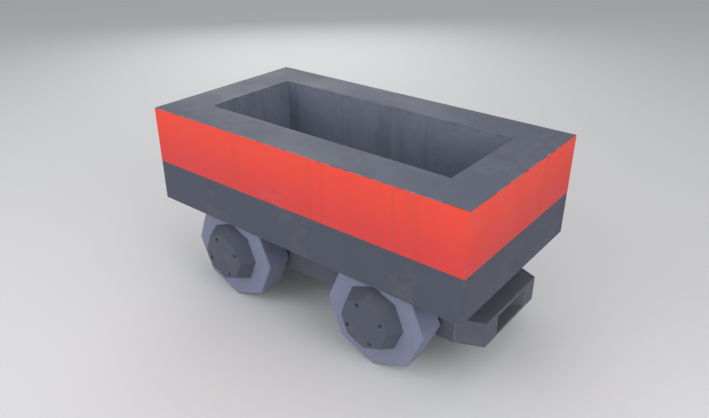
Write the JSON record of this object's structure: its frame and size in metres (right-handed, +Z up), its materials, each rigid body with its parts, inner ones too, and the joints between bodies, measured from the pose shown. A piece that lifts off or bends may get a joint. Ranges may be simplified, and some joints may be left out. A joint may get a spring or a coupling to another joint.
{
  "type": "mine cart",
  "caption": "Four-wheeled mine cart with a double-walled red tub, grey rim, open hopper, eight-sided wheels and bevelled buffer heads.",
  "frame": {"origin": "on the track, below the middle of the cart", "axes": "+X to the front along the cart's length, +Y to its left, +Z up"},
  "size_m": [1.65, 0.929, 0.872],
  "materials": {
    "rim_grey": "satin grey paint, worn at the edges",
    "red_paint": "satin red paint",
    "dark_sill": "satin dark grey paint",
    "hopper_steel": "dark paint scoured by the load",
    "frame_paint": "dark grey chassis paint",
    "cast_iron": "dark painted casting",
    "wheel_steel": "light blue-grey painted casting",
    "hub_paint": "dark painted casting",
    "bare_steel": "machined steel, oiled",
    "rubber": "black rubber"
  },
  "bodies": {
    "cart": {"top_rim": "rim_grey", "side_panel_left": "red_paint", "side_panel_right": "red_paint", "end_panel_front": "red_paint", "end_panel_rear": "red_paint", "side_skirt_left": "dark_sill", "side_skirt_right": "dark_sill", "end_skirt_front": "dark_sill", "end_skirt_rear": "dark_sill", "side_liner_left": "hopper_steel", "side_liner_right": "hopper_steel", "end_liner_front": "hopper_steel", "end_liner_rear": "hopper_steel", "hopper_floor": "hopper_steel", "corner_posts": "frame_paint", "wall_ribs": "frame_paint", "body_bolster_front_end": "frame_paint", "body_bolster_front_inner": "frame_paint", "body_bolster_rear_inner": "frame_paint", "body_bolster_rear_end": "frame_paint", "frame_sill_left": "frame_paint", "frame_sill_right": "frame_paint", "cross_member_front": "frame_paint", "cross_member_middle": "frame_paint", "cross_member_rear": "frame_paint", "headstock_plates": "frame_paint", "drawhead_front": "cast_iron", "drawhead_rear": "cast_iron", "axle_seats": "cast_iron", "mount_pads": "rubber", "dust_seals": "rubber", "mount_bolts": "bare_steel", "drawhead_bolts": "bare_steel", "axle_front": "bare_steel", "axle_rear": "bare_steel", "axle_lock_bolts": "bare_steel", "bearing_cones": "bare_steel", "axle_washers": "bare_steel", "axle_nuts": "bare_steel", "split_pins": "bare_steel"},
    "front_left_wheel": {"wheel_front_left": "wheel_steel", "bearing_cups_front_left": "bare_steel", "hub_cap_front_left": "hub_paint", "hub_cap_screws_front_left": "hub_paint"},
    "front_right_wheel": {"wheel_front_right": "wheel_steel", "bearing_cups_front_right": "bare_steel", "hub_cap_front_right": "hub_paint", "hub_cap_screws_front_right": "hub_paint"},
    "rear_left_wheel": {"wheel_rear_left": "wheel_steel", "bearing_cups_rear_left": "bare_steel", "hub_cap_rear_left": "hub_paint", "hub_cap_screws_rear_left": "hub_paint"},
    "rear_right_wheel": {"wheel_rear_right": "wheel_steel", "bearing_cups_rear_right": "bare_steel", "hub_cap_rear_right": "hub_paint", "hub_cap_screws_rear_right": "hub_paint"},
    "front_pin": {"coupling_pin_front": "bare_steel"},
    "rear_pin": {"coupling_pin_rear": "bare_steel"}
  },
  "joints": [
    {"name": "front_left_wheel_spin", "type": "hinge", "parent": "cart", "child": "front_left_wheel", "pos_m": [0.4125, 0.333, 0.24], "axis": [0, 1, 0], "continuous": true},
    {"name": "front_right_wheel_spin", "type": "hinge", "parent": "cart", "child": "front_right_wheel", "pos_m": [0.4125, -0.333, 0.24], "axis": [0, 1, 0], "continuous": true},
    {"name": "rear_left_wheel_spin", "type": "hinge", "parent": "cart", "child": "rear_left_wheel", "pos_m": [-0.4125, 0.333, 0.24], "axis": [0, 1, 0], "continuous": true},
    {"name": "rear_right_wheel_spin", "type": "hinge", "parent": "cart", "child": "rear_right_wheel", "pos_m": [-0.4125, -0.333, 0.24], "axis": [0, 1, 0], "continuous": true},
    {"name": "front_pin_lift", "type": "slide", "parent": "cart", "child": "front_pin", "axis": [0, 0, 1], "range_m": [0, 0.095]},
    {"name": "rear_pin_lift", "type": "slide", "parent": "cart", "child": "rear_pin", "axis": [0, 0, 1], "range_m": [0, 0.095]}
  ]
}
